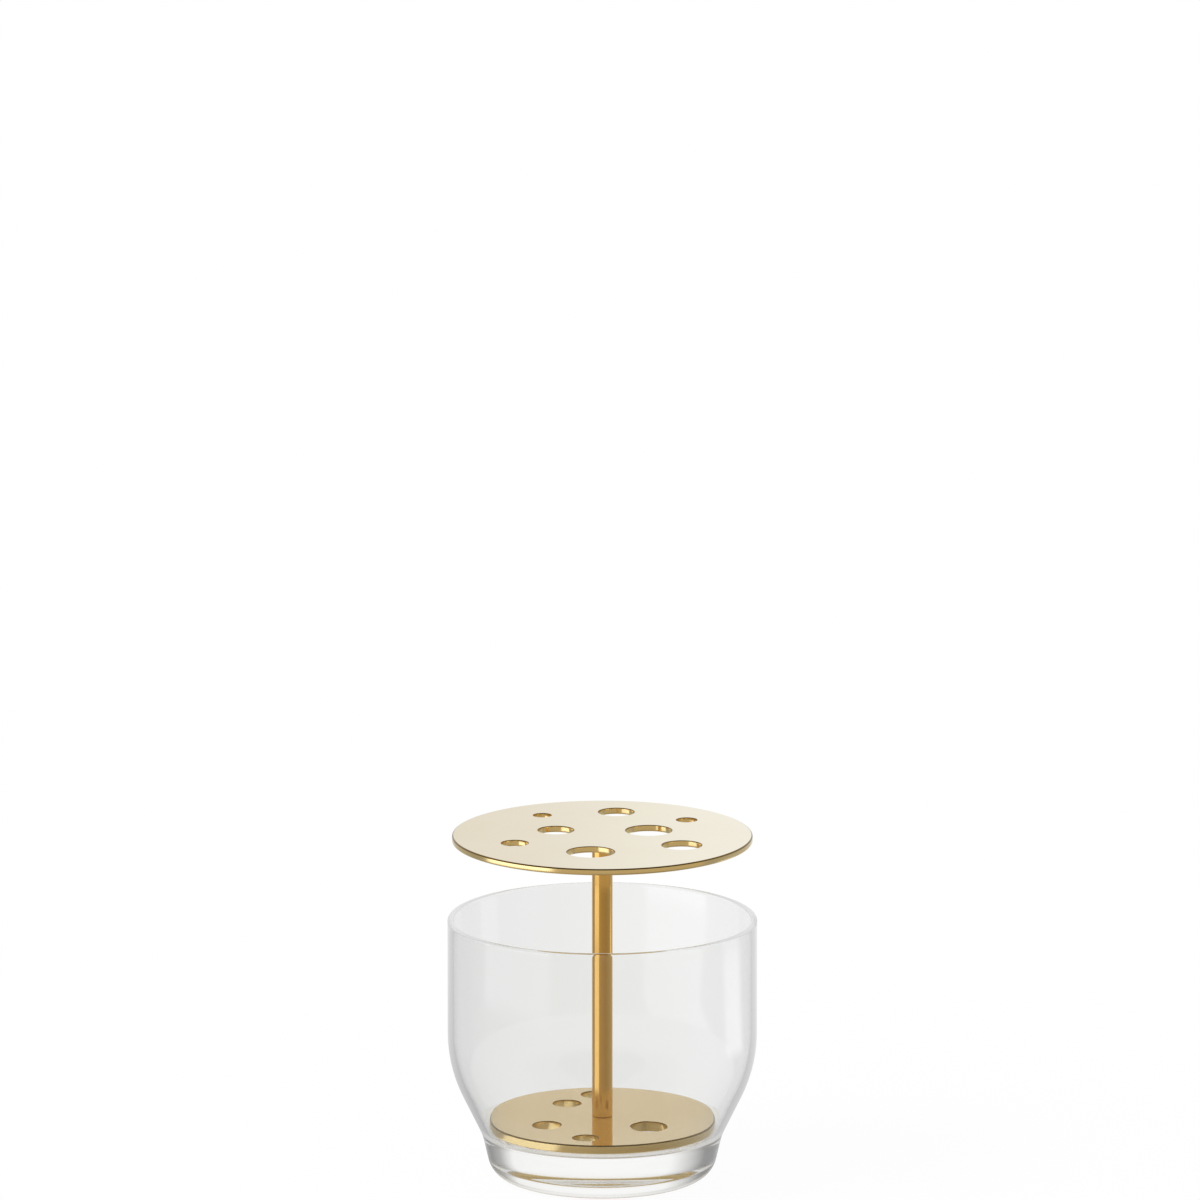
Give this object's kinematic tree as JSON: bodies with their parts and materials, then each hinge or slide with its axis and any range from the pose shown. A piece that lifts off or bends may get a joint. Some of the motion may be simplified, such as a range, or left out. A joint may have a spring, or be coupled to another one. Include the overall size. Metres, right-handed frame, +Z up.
{
  "type": "ikebana vase",
  "caption": "Clear thick-based glass flower vase with a lift-out brass insert: a wide plate pierced with round holes on a post above the rim, and a smaller pierced plate at the floor.",
  "frame": {"origin": "centre of the underside of the glass vessel, on the surface it stands on", "axes": "+Z up along the axis of the vessel and post; -Y towards the pictured front"},
  "size_m": [0.12, 0.12, 0.136],
  "materials": {
    "clear_glass": "clear, fire polished",
    "polished_brass": "polished",
    "brushed_brass": "brushed lengthwise",
    "plain_steel": "plain",
    "clear_silicone": "clear, soft"
  },
  "bodies": {
    "vessel": {"glass_vessel": "clear_glass"},
    "insert": {"top_plate": "polished_brass", "top_stud": "plain_steel", "post": "brushed_brass", "base_plate": "polished_brass", "base_screw": "plain_steel", "foot_pad_1": "clear_silicone", "foot_pad_2": "clear_silicone", "foot_pad_3": "clear_silicone", "foot_pad_4": "clear_silicone"}
  },
  "joints": [
    {"name": "insert_lift", "type": "slide", "parent": "vessel", "child": "insert", "axis": [0, 0, 1], "range_m": [0, 0.1]}
  ]
}
